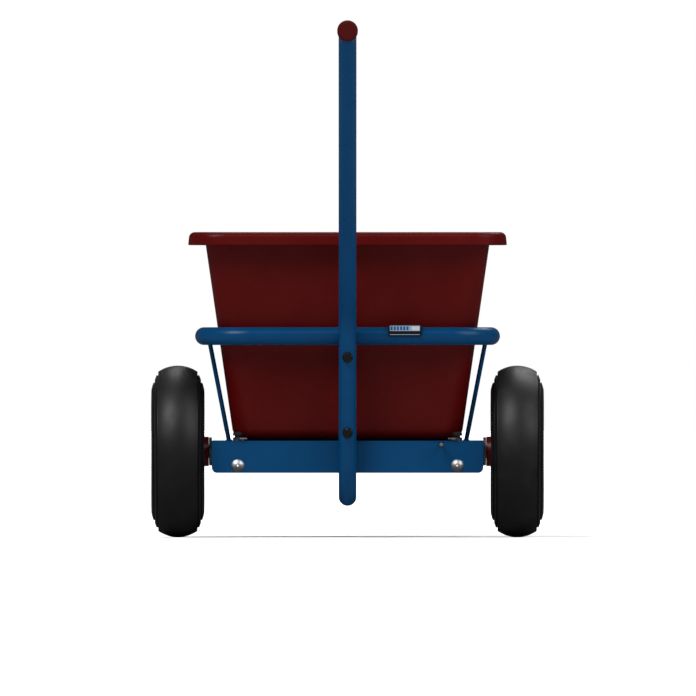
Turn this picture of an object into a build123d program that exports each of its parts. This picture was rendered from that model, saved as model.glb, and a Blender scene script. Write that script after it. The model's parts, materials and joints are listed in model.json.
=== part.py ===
from build123d import *
import os
from math import cos, radians, sin, tan

# Walk-behind garden spreader: a tapered tub on a sheet-steel axle housing, carried by two
# pneumatic wheels and pushed by one bent mast tube.
# Millimetres. +X is the user's right, +Y is the way the spreader is pushed, +Z is up.
# Every piece is built with the wheel axle in the plane Y = 0; save() then moves it by AXLE_Y,
# which puts the origin on the ground, under the middle of the whole object.

os.makedirs("parts", exist_ok=True)

# ---- driving dimensions: overall ----
REACH_BACK = 722.0        # axle to the end of the grip
REACH_FRONT = 262.0       # axle to the front of the parking foot
AXLE_Y = (REACH_BACK - REACH_FRONT) / 2
GRIP_Z = 760.0            # height of the grip's axis

# ---- wheels and axle ----
WHEEL_R = 130.0
AXLE_Z = WHEEL_R
TRACK_HALF = 257.0        # middle of a tyre from the middle of the spreader
TYRE_HALF_W = 40.0
TREAD_HALF_W = 30.8
TREAD_EDGE_R = 119.0
BEAD_R = 52.0
FLANGE_R = 61.0
HUB_R = 22.5
HUB_INNER = 46.9          # hub's inner end, from the middle of the tyre
HUB_OUTER = 26.0          # hub's outer end
BUSH_R = 17.5
BUSH_L = 24.0
AXLE_R = 10.0
AXLE_HALF_L = 293.0
RUN_GAP = 0.05            # radial clearance of a running fit
SPOKES = 6
SPOKE_HALF_W = 14.0
DRIVE_BOLT_U = 19.5       # drive bolt and valve, from the middle of the tyre, outwards
DRIVE_BOLT_GAP = 0.6      # head and nut clear of the round hub
VALVE_U = 15.0
VALVE_ANGLE = 150.0
COTTER_X = 288.4
COTTER_R = 1.6

# ---- axle housing ----
HOUSING_HALF_W = 205.3
HOUSING_BACK = -88.0
HOUSING_FRONT = 208.0
HOUSING_Z0 = 97.7
HOUSING_Z1 = 146.3
TOP_T = 2.0
SHEET_T = 2.5
HOUSING_BEND_R = 8.0
BEARING_R = 14.0
BEARING_FLANGE_R = 21.5
BEARING_FLANGE_T = 4.5
TIE_X = 166.0             # bolts of the tie plates: 332 mm apart
TIE_BOLT_Z = 108.4
TIE_WEB_X = 178.0
TIE_FLANGE_X = 155.0
KNOB_INSET = 12.0         # tub bolts, from the housing's back and front faces
ROD_X = 141.9
ROD_Z = 140.75
ROD_R = 3.0
ROD_OUT = 26.0            # pull rod outside the back plate
NOTCH_R = 3.75
BRACKET_Y = 120.0
BRACKET_T = 4.0
BRACKET_BOLT_YS = (BRACKET_Y - 24, BRACKET_Y + 24)

# ---- metering chute, gate and agitator ----
CHUTE_HALF_L = 152.5
CHUTE_HALF_D = 30.0
CHUTE_GAP = 5.5           # housing floor to the lower edge of the chute
SLOT_HALF_L = 150.0
SLOT_HALF_D = 25.0
PORTS = 9
PORT_PITCH = 34.0
PORT_L = 22.0
PORT_D = 20.0
GATE_T = 2.0
GATE_LIFT = 0.5
GATE_HALF_L = 152.0
GATE_HALF_D = 14.0
GATE_TONGUE = 56.0        # reach of the gate's tongue behind the axle
GUIDE_YS = (-38.0, 22.0)
FINGERS = 10
FINGER_PITCH = 30.0
FINGER_R = 3.0
FINGER_REACH = 26.0
SLEEVE_R = 12.0
SLEEVE_HALF_L = 148.0
SPRING_PIN_R = 2.0
SPRING_PIN_INSET = 6.0    # from the ends of the sleeve
BOSS_R = 6.0
BOSS_H = 9.0

# ---- tub ----
TUB_Y = 60.0              # middle of the tub, ahead of the axle
TUB_SLOPE = 8.2
TUB_HALF_W = 214.6        # outer half width and depth where the wall meets the rim
TUB_HALF_D = 165.4
TUB_WALL_Z = 443.0
TUB_TOP = 461.9
TUB_T = 3.5
TUB_CORNER_R = 34.0
TUB_BASE_R = 21.0
RIM_OVERHANG = 24.6
RIM_FLARE = 1.8
RIM_CORNER_R = 54.0
RIM_EDGE_R = 9.0
RIM_T = 3.0
EAR_T = 2.5
EAR_END = 42.0            # measured from the axis of the tub's corner

# ---- frame tubes ----
TUBE_R = 13.45
TUBE_WALL = 2.0
MAST_BEND_R = 65.0
MAST_LOW_Z = 61.2         # axis of the run under the housing
MAST_LEAN = 45.0
MAST_KNEE_Z = 331.5       # corner between the lower part and the leaning part
HOOP_Z = 304.6
HOOP_HALF_W = 217.3
HOOP_BEND_R = 67.0
HOOP_GAP = 22.6           # tub wall to the axis of the hoop
STRAP_T = 5.0
STRAP_W = 25.0
STAY_R = 3.0
STAY_FOOT_X = 180.0
STAY_HEAD_X = 208.6
STAY_YS = (-28.0, 148.0)
GRIP_R = 15.5
GRIP_WALL = 4.0
GRIP_L = 112.0
GRIP_RINGS = 9
FOOT_PLUG_T = 3.0
MAST_BOLT_ZS = (160.4, 274.4)
SADDLE_T = 1.2            # saddle washer between a bolt head and the tube

# ---- fasteners ----
M8_R = 4.0
M8_FLATS = 13.0
M8_HEAD = 5.3
M8_NUT = 6.5
M8_LOCKNUT = 8.0
M6_R = 3.0
M6_FLATS = 10.0
M6_HEAD = 4.0
M6_NUT = 5.0
CLEAR = 0.2               # radial clearance of a bolt in its hole
MUSHROOM_R = 10.0         # head of a tie bolt
MUSHROOM_H = 4.4
DOME_R = 13.8             # radius of the tie bolts' domed face
CLIP_T = 2.0
KNOB_NECK_H = 3.2
KNOB_HEAD_H = 6.2
KNOB_LOBES = 5

# ---- badge ----
BADGE_X = 86.7
BADGE_Z = 313.2
BADGE_W = 50.0
BADGE_H = 18.0
BADGE_WALL = 2.5          # carrier in front of the tube

# ---- derived ----
SIDES = (("left", -1), ("right", 1))
LEAN = radians(TUB_SLOPE)
HOOP_BACK = TUB_Y - (TUB_HALF_D - (TUB_WALL_Z - HOOP_Z) * tan(LEAN)) - HOOP_GAP
MAST_TO_HOOP = 2 * TUBE_R + STRAP_T     # mast axis to hoop axis, square to the mast
MAST_UP = Vector(0, -sin(LEAN), cos(LEAN))
MAST_IN = Vector(0, cos(LEAN), sin(LEAN))
FLOOR_Z = HOUSING_Z0 + SHEET_T          # inside of the housing's floor
GATE_Z = FLOOR_Z + GATE_LIFT
GATE_TOP = GATE_Z + GATE_T
ROD_FOOT_Y = 9.0 - GATE_TONGUE          # where the pull rod goes down into the gate's boss
BOSS_PIN_Z = GATE_TOP + 5.0
TUB_SEAT_Z = HOUSING_Z1 + EAR_T         # top of the tub's ears


def save(name, shape):
    """Write one piece, moved from axle coordinates to the spreader's own frame."""
    export_step(Pos(0, AXLE_Y, 0) * shape, f"parts/{name}.step")


def bar(start, end, radius):
    """Round bar between two points."""
    start = Vector(*start)
    end = Vector(*end)
    plane = Plane(start, z_dir=end - start)
    return extrude(plane * Circle(radius), (end - start).length)


def hex_prism(start, direction, across_flats, height):
    """Hexagonal prism from a point along a direction, with its outer corners eased."""
    plane = Plane(Vector(*start), z_dir=Vector(*direction))
    prism = extrude(plane * RegularPolygon(across_flats / 2, 6, major_radius=False), height)
    cone = Pos(0, 0, height / 2) * Cone(across_flats * 0.5 + height, across_flats * 0.5, height)
    return prism & (plane.location * cone)


def hex_bolt(head, direction, shank_r, length, across_flats, head_h):
    """Hex bolt: the head sits behind the point, the shank runs ahead of it."""
    head = Vector(*head)
    direction = Vector(*direction).normalized()
    shank = bar(head, head + direction * length, shank_r)
    return shank + hex_prism(head, -direction, across_flats, head_h)


def nut(face, direction, hole_r, across_flats, height):
    """Hex nut standing on a face, its bore along the direction."""
    face = Vector(*face)
    direction = Vector(*direction).normalized()
    hole = bar(face - direction, face + direction * (height + 1), hole_r)
    return hex_prism(face, direction, across_flats, height) - hole


def block(x0, x1, y0, y1, z0, z1):
    """Box from its six limits."""
    box = Box(x1 - x0, y1 - y0, z1 - z0)
    return Pos((x0 + x1) / 2, (y0 + y1) / 2, (z0 + z1) / 2) * box


def plan(half_x, half_y, radius, z):
    """Rounded rectangle about the tub's axis at one height."""
    return Pos(0, TUB_Y, z) * RectangleRounded(2 * half_x, 2 * half_y, radius)


def on_wheel(side, shape):
    """Place a piece built about the X axis on one wheel; side is -1 left, +1 right.
    In wheel coordinates +X points outwards, away from the spreader."""
    turn = Rot(0, 0, 0) if side > 0 else Rot(0, 180, 0)
    return Pos(side * TRACK_HALF, 0, AXLE_Z) * turn * shape


def ring_of(section):
    """Solid of revolution about the X axis."""
    return revolve(Plane.XY * section, Axis.X, 360)


# ---------------------------------------------------------------- wheels

def tyre():
    """Hollow tyre: round crown, sloped shoulders, full sidewalls and two beads."""
    outer = [
        Line((20, BEAD_R), (27, BEAD_R)),
        Line((27, BEAD_R), (27, FLANGE_R + 1)),
        ThreePointArc((27, FLANGE_R + 1), (36, 74), (TYRE_HALF_W, 90)),
        ThreePointArc((TYRE_HALF_W, 90), (39.7, 95), (38.6, 100)),
        Line((38.6, 100), (TREAD_HALF_W, TREAD_EDGE_R)),
    ]
    inner = [
        Line((20, BEAD_R), (20, FLANGE_R)),
        ThreePointArc((20, FLANGE_R), (30.5, 75), (34.5, 90)),
        ThreePointArc((34.5, 90), (29, 105), (18, 115.5)),
    ]
    crown = ThreePointArc((TREAD_HALF_W, TREAD_EDGE_R), (0, WHEEL_R), (-TREAD_HALF_W, TREAD_EDGE_R))
    roof = ThreePointArc((18, 115.5), (0, 121), (-18, 115.5))
    half = outer + inner
    other = [edge.mirror(Plane.YZ) for edge in half]
    return ring_of(make_face(half + other + [crown, roof]))


def inner_tube():
    """Thin rubber tube inside the tyre, about two thirds inflated."""
    outer = Torus(85.5, 27.5)
    hollow = Torus(85.5, 25.5)
    return Rot(0, 90, 0) * (outer - hollow)


def rim(side):
    """Moulded rim: barrel with bead seats and flanges, web, hub and radial ribs."""
    barrel = [
        (-30, FLANGE_R), (-27, FLANGE_R), (-27, BEAD_R), (-19.5, BEAD_R), (-17, 47.5),
        (17, 47.5), (19.5, BEAD_R), (27, BEAD_R), (27, FLANGE_R), (30, FLANGE_R),
        (30, 49.5), (22.5, 44), (-22.5, 44), (-30, 49.5), (-30, FLANGE_R),
    ]
    body = ring_of(make_face(Polyline(barrel)))
    web = ring_of(Pos(0, (HUB_R + 45) / 2) * Rectangle(5, 45 - HUB_R + 2))
    hub_mid = (HUB_OUTER - HUB_INNER) / 2
    hub = Pos(hub_mid, 0, 0) * Rot(0, 90, 0) * Cylinder(HUB_R, HUB_INNER + HUB_OUTER)
    body = body + web + hub
    for k in range(SPOKES):
        rib = block(-SPOKE_HALF_W, SPOKE_HALF_W, HUB_R - 2, 45, -2, 2)
        body = body + Rot(360 / SPOKES * k, 0, 0) * rib
    for u0, u1 in ((-HUB_INNER, BUSH_L - HUB_INNER), (HUB_OUTER - BUSH_L, HUB_OUTER)):
        body = body - Pos((u0 + u1) / 2, 0, 0) * Rot(0, 90, 0) * Cylinder(BUSH_R, u1 - u0)
    body = body - Pos(hub_mid, 0, 0) * Rot(0, 90, 0) * Cylinder(AXLE_R + 2, 100)
    body = body - valve_hole()
    if side < 0:
        body = body - drive_bolt_hole()
    return body


def hub_bushes(side):
    """Two sleeve bushes pressed into the ends of the hub."""
    pair = Part()
    for u0, u1 in ((-HUB_INNER, BUSH_L - HUB_INNER), (HUB_OUTER - BUSH_L, HUB_OUTER)):
        outer = Rot(0, 90, 0) * Cylinder(BUSH_R, u1 - u0)
        bore = Rot(0, 90, 0) * Cylinder(AXLE_R + RUN_GAP, u1 - u0 + 2)
        pair = pair + Pos((u0 + u1) / 2, 0, 0) * (outer - bore)
    if side < 0:
        pair = pair - drive_bolt_hole()
    return pair


def valve_hole():
    return Rot(VALVE_ANGLE, 0, 0) * bar((VALVE_U, 40, 0), (VALVE_U, 57, 0), 4.2)


def valve():
    """Valve stem with its dust cap, through the barrel of the rim towards the hub."""
    stem = bar((VALVE_U, 57, 0), (VALVE_U, 36, 0), 3.9)
    cap = bar((VALVE_U, 39, 0), (VALVE_U, 27, 0), 4.9)
    cap = fillet(cap.edges().sort_by(Axis.Y)[0], 1.5)
    return Rot(VALVE_ANGLE, 0, 0) * (stem + cap)


def drive_bolt_hole():
    return bar((DRIVE_BOLT_U, 0, -40), (DRIVE_BOLT_U, 0, 40), M6_R + CLEAR)


def drive_bolt():
    """M6 bolt through the left hub and the axle, which makes that wheel turn the agitator."""
    head = (DRIVE_BOLT_U, 0, HUB_R + DRIVE_BOLT_GAP)
    return hex_bolt(head, (0, 0, -1), M6_R, 2 * HUB_R + 8, M6_FLATS, M6_HEAD)


def drive_nut():
    return nut((DRIVE_BOLT_U, 0, -HUB_R - DRIVE_BOLT_GAP), (0, 0, -1), M6_R, M6_FLATS, M6_NUT)


# ---------------------------------------------------------------- axle and agitator

def axle():
    """Solid round axle with cross holes for the cotter pins, drive bolt and agitator pins."""
    shaft = bar((-AXLE_HALF_L, 0, AXLE_Z), (AXLE_HALF_L, 0, AXLE_Z), AXLE_R)
    shaft = chamfer(shaft.edges(), 1)
    for side in (-1, 1):
        x = side * COTTER_X
        shaft = shaft - bar((x, 0, AXLE_Z - 20), (x, 0, AXLE_Z + 20), COTTER_R + CLEAR)
        x = side * (SLEEVE_HALF_L - SPRING_PIN_INSET)
        shaft = shaft - bar((x, 0, AXLE_Z - 20), (x, 0, AXLE_Z + 20), SPRING_PIN_R)
    x = -(TRACK_HALF + DRIVE_BOLT_U)
    return shaft - bar((x, 0, AXLE_Z - 20), (x, 0, AXLE_Z + 20), M6_R + CLEAR)


def agitator_sleeve():
    """Sleeve pinned on the axle, under the outlet slot."""
    body = bar((-SLEEVE_HALF_L, 0, AXLE_Z), (SLEEVE_HALF_L, 0, AXLE_Z), SLEEVE_R)
    body = body - bar((-SLEEVE_HALF_L - 1, 0, AXLE_Z), (SLEEVE_HALF_L + 1, 0, AXLE_Z), AXLE_R)
    for side in (-1, 1):
        x = side * (SLEEVE_HALF_L - SPRING_PIN_INSET)
        body = body - bar((x, 0, AXLE_Z - 20), (x, 0, AXLE_Z + 20), SPRING_PIN_R)
    return body


def agitator_fingers():
    """Stub fingers on the sleeve in opposite pairs, each pair a quarter turn from the next."""
    group = Part()
    inside = bar((-SLEEVE_HALF_L, 0, 0), (SLEEVE_HALF_L, 0, 0), SLEEVE_R)
    for k in range(FINGERS):
        x = (k - (FINGERS - 1) / 2) * FINGER_PITCH
        pair = bar((x, 0, -FINGER_REACH), (x, 0, FINGER_REACH), FINGER_R)
        pair = fillet(pair.edges(), 1) - inside
        group = group + Rot(90 * (k % 2), 0, 0) * pair
    return Pos(0, 0, AXLE_Z) * group


def agitator_pins():
    """Two spring pins that lock the sleeve to the axle."""
    pins = Part()
    for side in (-1, 1):
        x = side * (SLEEVE_HALF_L - SPRING_PIN_INSET)
        solid = bar((x, 0, AXLE_Z - 13), (x, 0, AXLE_Z + 13), SPRING_PIN_R)
        pins = pins + (solid - bar((x, 0, AXLE_Z - 14), (x, 0, AXLE_Z + 14), SPRING_PIN_R / 2))
    return pins


def axle_washers():
    """Washer between each hub and its cotter pin."""
    both = Part()
    for side in (-1, 1):
        x0 = TRACK_HALF + HUB_OUTER + 0.3
        washer = bar((side * x0, 0, AXLE_Z), (side * (x0 + 2.5), 0, AXLE_Z), 17)
        hole = bar((side * (x0 - 1), 0, AXLE_Z), (side * (x0 + 4), 0, AXLE_Z), AXLE_R + RUN_GAP)
        both = both + (washer - hole)
    return both


def cotter_pins():
    """Split pin through each end of the axle: looped head, two bent legs."""
    both = Part()
    for side in (-1, 1):
        shank = bar((0, 0, -13), (0, 0, 12), COTTER_R)
        eye = Pos(0, 0, 15.5) * Rot(0, 90, 0) * Torus(3.4, COTTER_R * 0.9)
        leg = bar((0, 0, -12.4), (0, 7, -16), COTTER_R * 0.8)
        other = bar((0, 0, -12.4), (0, -7, -16), COTTER_R * 0.8)
        both = both + Pos(side * COTTER_X, 0, AXLE_Z) * (shank + eye + leg + other)
    return both


def axle_bearing(side):
    """Flanged plain bearing in the housing's side wall."""
    wall = HOUSING_HALF_W
    flange = bar((wall, 0, 0), (wall + BEARING_FLANGE_T, 0, 0), BEARING_FLANGE_R)
    sleeve = bar((wall - 11, 0, 0), (wall + 1, 0, 0), BEARING_R)
    bore = bar((wall - 12, 0, 0), (wall + 6, 0, 0), AXLE_R + RUN_GAP)
    body = chamfer(flange.edges().sort_by(Axis.X)[-1], 0.8) + sleeve - bore
    turn = Rot(0, 0, 0) if side > 0 else Rot(0, 180, 0)
    return Pos(0, 0, AXLE_Z) * turn * body


# ---------------------------------------------------------------- axle housing

def housing_section(inset):
    """Cross-section of the tray across X: square at the top, bent round at the bottom."""
    half = HOUSING_HALF_W - inset
    low = HOUSING_Z0 + inset
    high = HOUSING_Z1 - TOP_T + (inset > 0) * 5
    outline = Plane.XZ * Pos(0, (low + high) / 2) * Rectangle(2 * half, high - low)
    corners = outline.vertices().sort_by(Axis.Z)[:2]
    return fillet(corners, HOUSING_BEND_R - inset)


def port_xs():
    return [(k - (PORTS - 1) / 2) * PORT_PITCH for k in range(PORTS)]


def axle_housing():
    """Sheet tray: bottom and sides bent in one piece, back and front plates welded in."""
    depth = HOUSING_FRONT - HOUSING_BACK
    tray = Pos(0, HOUSING_FRONT, 0) * extrude(housing_section(0), depth)
    inside = extrude(housing_section(SHEET_T), depth - 2 * SHEET_T)
    tray = tray - Pos(0, HOUSING_FRONT - SHEET_T, 0) * inside
    tray = tray - bar((-230, 0, AXLE_Z), (230, 0, AXLE_Z), BEARING_R)
    for x in port_xs():
        tray = tray - block(x - PORT_L / 2, x + PORT_L / 2, -PORT_D / 2, PORT_D / 2, 90, 105)
    for x in (-TIE_X, TIE_X):
        back = (x, HOUSING_BACK - 5, TIE_BOLT_Z)
        front = (x, HOUSING_FRONT + 5, TIE_BOLT_Z)
        tray = tray - bar(back, front, M8_R + CLEAR)
    notch_y = HOUSING_BACK + SHEET_T / 2
    notch = bar((ROD_X, notch_y - 3, ROD_Z), (ROD_X, notch_y + 3, ROD_Z), NOTCH_R)
    notch = notch + block(ROD_X - NOTCH_R, ROD_X + NOTCH_R, notch_y - 3, notch_y + 3, ROD_Z, 150)
    for y in BRACKET_BOLT_YS:
        tray = tray - bar((0, y, 90), (0, y, 105), M6_R + CLEAR)
    return tray - notch


def housing_top():
    """Top plate with the outlet slot under the tub and four holes for the tub bolts."""
    z0 = HOUSING_Z1 - TOP_T
    plate = block(-HOUSING_HALF_W, HOUSING_HALF_W, HOUSING_BACK, HOUSING_FRONT, z0, HOUSING_Z1)
    plate = plate - block(-SLOT_HALF_L, SLOT_HALF_L, -SLOT_HALF_D, SLOT_HALF_D, 140, 150)
    for x, y in corner_points():
        plate = plate - bar((x, y, 140), (x, y, 150), M6_R + CLEAR)
    return plate


def corner_points():
    """Places of the four tub bolts."""
    ys = (HOUSING_BACK + KNOB_INSET, HOUSING_FRONT - KNOB_INSET)
    return [(x, y) for x in (-TIE_X, TIE_X) for y in ys]


def tie_plate(side):
    """Folded plate inside the housing, from back plate to front plate, bolted to both."""
    y0 = HOUSING_BACK + SHEET_T
    y1 = HOUSING_FRONT - SHEET_T
    z0 = FLOOR_Z + 0.5
    z1 = HOUSING_Z1 - TOP_T
    body = block(TIE_WEB_X - SHEET_T, TIE_WEB_X, y0, y1, z0, z1)
    body = body + block(TIE_FLANGE_X, TIE_WEB_X, y0, y1, z1 - SHEET_T, z1)
    body = body + block(TIE_FLANGE_X, TIE_WEB_X, y0, y0 + SHEET_T, z0, z1)
    body = body + block(TIE_FLANGE_X, TIE_WEB_X, y1 - SHEET_T, y1, z0, z1)
    body = body - bar((TIE_X, y0 - 5, TIE_BOLT_Z), (TIE_X, y1 + 5, TIE_BOLT_Z), M8_R + CLEAR)
    body = body - bar((TIE_X, 0, AXLE_Z), (TIE_X + 30, 0, AXLE_Z), AXLE_R + 2)
    for x, y in corner_points():
        body = body - bar((abs(x), y, 130), (abs(x), y, 150), M6_R + CLEAR)
    return body if side > 0 else body.mirror(Plane.YZ)


def tie_bolts():
    """Mushroom-head M8 bolts, two in the back plate and two in the front plate."""
    group = Part()
    for x in (-TIE_X, TIE_X):
        for face, out in ((HOUSING_BACK, -1), (HOUSING_FRONT, 1)):
            disc = Pos(0, 0, MUSHROOM_H / 2) * Cylinder(MUSHROOM_R, MUSHROOM_H)
            dome = Pos(0, 0, MUSHROOM_H - DOME_R) * Sphere(DOME_R) & disc
            dome = dome + Pos(0, 0, -9) * Cylinder(M8_R, 18)
            turn = Rot(90, 0, 0) if out < 0 else Rot(-90, 0, 0)
            group = group + Pos(x, face, TIE_BOLT_Z) * turn * dome
    return group


def tie_nuts():
    """Nuts of the four tie-plate bolts, inside the housing."""
    group = Part()
    for x in (-TIE_X, TIE_X):
        for face, out in ((HOUSING_BACK, -1), (HOUSING_FRONT, 1)):
            seat = (x, face - out * 2 * SHEET_T, TIE_BOLT_Z)
            group = group + nut(seat, (0, -out, 0), M8_R, M8_FLATS, M8_NUT)
    return group


# ---------------------------------------------------------------- chute and gate

def chute_frame():
    """Four-sided chute under the outlet slot; its walls end above the gate."""
    z0 = FLOOR_Z
    z1 = HOUSING_Z1 - TOP_T
    outer = block(-CHUTE_HALF_L, CHUTE_HALF_L, -CHUTE_HALF_D, CHUTE_HALF_D, z0 + CHUTE_GAP, z1)
    inner_l = CHUTE_HALF_L - TOP_T
    inner_d = CHUTE_HALF_D - TOP_T
    body = outer - block(-inner_l, inner_l, -inner_d, inner_d, z0, z1 + 1)
    return body - bar((-200, 0, AXLE_Z), (200, 0, AXLE_Z), SLEEVE_R + 1)


def gate_guides():
    """Two rails on the housing floor that hold the gate down at its ends."""
    z0 = FLOOR_Z
    lip_z = GATE_TOP + 0.5
    pair = Part()
    y0, y1 = GUIDE_YS
    for side in (-1, 1):
        rail = block(GATE_HALF_L + 0.5, GATE_HALF_L + 8, y0, y1, z0, lip_z)
        rail = rail + block(GATE_HALF_L - 5, GATE_HALF_L + 8, y0, y1, lip_z, lip_z + 1.5)
        pair = pair + (rail if side > 0 else rail.mirror(Plane.YZ))
    return pair


def gate_plate():
    """Sliding plate over the ports, with a tongue for the pull rod."""
    plate = block(-GATE_HALF_L, GATE_HALF_L, -GATE_HALF_D, GATE_HALF_D, GATE_Z, GATE_TOP)
    tongue = block(ROD_X - 9, ROD_X + 9, -GATE_TONGUE, 0, GATE_Z, GATE_TOP)
    return plate + tongue


def gate_boss():
    """Round socket on the tongue that takes the lower end of the pull rod."""
    y = ROD_FOOT_Y
    boss = bar((ROD_X, y, GATE_TOP), (ROD_X, y, GATE_TOP + BOSS_H), BOSS_R)
    boss = boss - bar((ROD_X, y, GATE_Z), (ROD_X, y, GATE_TOP + BOSS_H + 1), ROD_R)
    return boss - bar((ROD_X - 9, y, BOSS_PIN_Z), (ROD_X + 9, y, BOSS_PIN_Z), 1)


def gate_boss_pin():
    """Cross pin of the pull rod."""
    return bar((ROD_X - 7, ROD_FOOT_Y, BOSS_PIN_Z), (ROD_X + 7, ROD_FOOT_Y, BOSS_PIN_Z), 1)


def gate_rod():
    """Pull rod: level through the notch in the back plate, then bent down to the gate."""
    y = ROD_FOOT_Y
    end = HOUSING_BACK - ROD_OUT
    route = FilletPolyline((ROD_X, end, ROD_Z), (ROD_X, y, ROD_Z), (ROD_X, y, GATE_TOP), radius=9)
    rod = sweep(Plane((ROD_X, end, ROD_Z), z_dir=(0, 1, 0)) * Circle(ROD_R), route)
    rod = rod - bar((ROD_X - 9, y, BOSS_PIN_Z), (ROD_X + 9, y, BOSS_PIN_Z), 1)
    for k in range(4):
        y_groove = end + 4 + 4 * k
        ring = bar((ROD_X, y_groove, ROD_Z), (ROD_X, y_groove + 1.2, ROD_Z), ROD_R + 1)
        core = bar((ROD_X, y_groove - 1, ROD_Z), (ROD_X, y_groove + 3, ROD_Z), ROD_R - 0.5)
        rod = rod - (ring - core)
    return rod


# ---------------------------------------------------------------- tub

def tub_half(half, z):
    """Outer half size of the tapered wall at a height."""
    return half - (TUB_WALL_Z - z) * tan(radians(TUB_SLOPE))


def tub_taper(inset, z0, z1, base_r):
    """Tapered rounded block, its base edge rounded."""
    sections = []
    for z in (z0, z1):
        half_w = tub_half(TUB_HALF_W, z) - inset
        half_d = tub_half(TUB_HALF_D, z) - inset
        sections.append(plan(half_w, half_d, TUB_CORNER_R - inset, z))
    body = loft(sections, ruled=True)
    return fillet(body.edges().group_by(Axis.Z)[0], base_r)


def rim_block(inset, z0, z1, edge_r):
    """Slab of the rolled rim: flared downwards, its upper edge rounded."""
    half_w = TUB_HALF_W + RIM_OVERHANG - inset
    half_d = TUB_HALF_D + RIM_OVERHANG - inset
    low = plan(half_w + RIM_FLARE, half_d + RIM_FLARE, RIM_CORNER_R + RIM_FLARE - inset, z0)
    high = plan(half_w, half_d, RIM_CORNER_R - inset, z1)
    body = loft([low, high], ruled=True)
    return fillet(body.edges().group_by(Axis.Z)[-1], edge_r)


def tub():
    """Open tub: tapered walls, rolled rim, outlet slot in the floor and four corner ears."""
    body = tub_taper(0, HOUSING_Z1, TUB_TOP - 1, TUB_BASE_R)
    roll = rim_block(0, TUB_WALL_Z, TUB_TOP, RIM_EDGE_R)
    roll = roll - rim_block(RIM_T, TUB_WALL_Z - 1, TUB_TOP - RIM_T, RIM_EDGE_R - RIM_T)
    body = body + roll
    for corner_x, corner_y, turn in ear_places():
        ear = block(8, EAR_END, -8, 8, HOUSING_Z1, HOUSING_Z1 + EAR_T)
        body = body + Pos(corner_x, corner_y, 0) * Rot(0, 0, turn) * ear
    body = body - tub_taper(TUB_T, HOUSING_Z1 + TUB_T, TUB_TOP + 20, TUB_BASE_R - TUB_T)
    return body - block(-SLOT_HALF_L, SLOT_HALF_L, -SLOT_HALF_D, SLOT_HALF_D, 140, 152)


def ear_places():
    """Axis of each lower tub corner, with the direction from it to its bolt, in degrees."""
    corner_x = tub_half(TUB_HALF_W, HOUSING_Z1 + 18) - TUB_CORNER_R
    corner_d = tub_half(TUB_HALF_D, HOUSING_Z1 + 18) - TUB_CORNER_R
    places = []
    for x, y in corner_points():
        sign_x = 1 if x > 0 else -1
        sign_y = 1 if y > TUB_Y else -1
        centre = Vector(sign_x * corner_x, TUB_Y + sign_y * corner_d)
        away = Vector(x, y) - centre
        turn = Vector(1, 0, 0).get_signed_angle(away)
        places.append((centre.X, centre.Y, turn))
    return places


def tub_clips():
    """Cranked clips that hold the tub's ears down on the top plate."""
    group = Part()
    for (x, y), (_, _, turn) in zip(corner_points(), ear_places()):
        arm = block(-18, 7, -6, 6, TUB_SEAT_Z, TUB_SEAT_Z + CLIP_T)
        heel = block(-8, 7, -6, 6, HOUSING_Z1, TUB_SEAT_Z)
        clip = arm + heel - bar((0, 0, HOUSING_Z1 - 1), (0, 0, HOUSING_Z1 + 9), M6_R + CLEAR)
        clip = fillet(clip.edges().filter_by(Axis.Z).group_by(Axis.X)[-1], 3)
        group = group + Pos(x, y, 0) * Rot(0, 0, turn) * clip
    return group


def tub_bolts():
    """M6 bolts standing up through the tie plates, the top plate and the clips."""
    group = Part()
    z = HOUSING_Z1 - TOP_T - SHEET_T
    for x, y in corner_points():
        group = group + hex_bolt((x, y, z), (0, 0, 1), M6_R, 15, M6_FLATS, M6_HEAD)
    return group


def tub_knobs():
    """Star knobs screwed on the tub bolts."""
    group = Part()
    z0 = TUB_SEAT_Z + CLIP_T
    for x, y in corner_points():
        neck = bar((0, 0, z0), (0, 0, z0 + KNOB_NECK_H), 4.6)
        star = Circle(6.2)
        for k in range(KNOB_LOBES):
            star = star + Rot(0, 0, 360 / KNOB_LOBES * k + 18) * Pos(4.9, 0) * Circle(2.7)
        head = extrude(Pos(0, 0, z0 + KNOB_NECK_H) * star, KNOB_HEAD_H)
        head = head & Pos(0, 0, z0 - 5.6) * Sphere(15)
        body = neck + head - bar((0, 0, z0 - 1), (0, 0, z0 + 7), M6_R)
        group = group + Pos(x, y, 0) * body
    return group


# ---------------------------------------------------------------- frame tubes

def mast_axis(z):
    """Point on the axis of the mast's lower part at a height."""
    crossing = Vector(0, HOOP_BACK, HOOP_Z) - MAST_IN * MAST_TO_HOOP
    return crossing + MAST_UP * ((z - crossing.Z) / cos(LEAN))


def mast_route():
    """Axis of the mast: level foot run, lower part along the tub, leaning part, level end."""
    knee = mast_axis(MAST_KNEE_Z)
    top = Vector(0, knee.Y - (GRIP_Z - knee.Z) * tan(radians(MAST_LEAN)), GRIP_Z)
    foot = Vector(0, REACH_FRONT - FOOT_PLUG_T, MAST_LOW_Z)
    end = Vector(0, GRIP_WALL - REACH_BACK, GRIP_Z)
    return FilletPolyline(foot, mast_axis(MAST_LOW_Z), knee, top, end, radius=MAST_BEND_R)


def mast_tube():
    """One bent steel tube from the parking foot to the grip, drilled for two bolts."""
    section = Plane((0, REACH_FRONT - FOOT_PLUG_T, MAST_LOW_Z), z_dir=(0, -1, 0))
    ring = Circle(TUBE_R) - Circle(TUBE_R - TUBE_WALL)
    body = sweep(section * ring, mast_route())
    for z in MAST_BOLT_ZS:
        middle = mast_axis(z)
        body = body - bar(middle - MAST_IN * 20, middle + MAST_IN * 20, M8_R + CLEAR)
    return body


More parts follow.
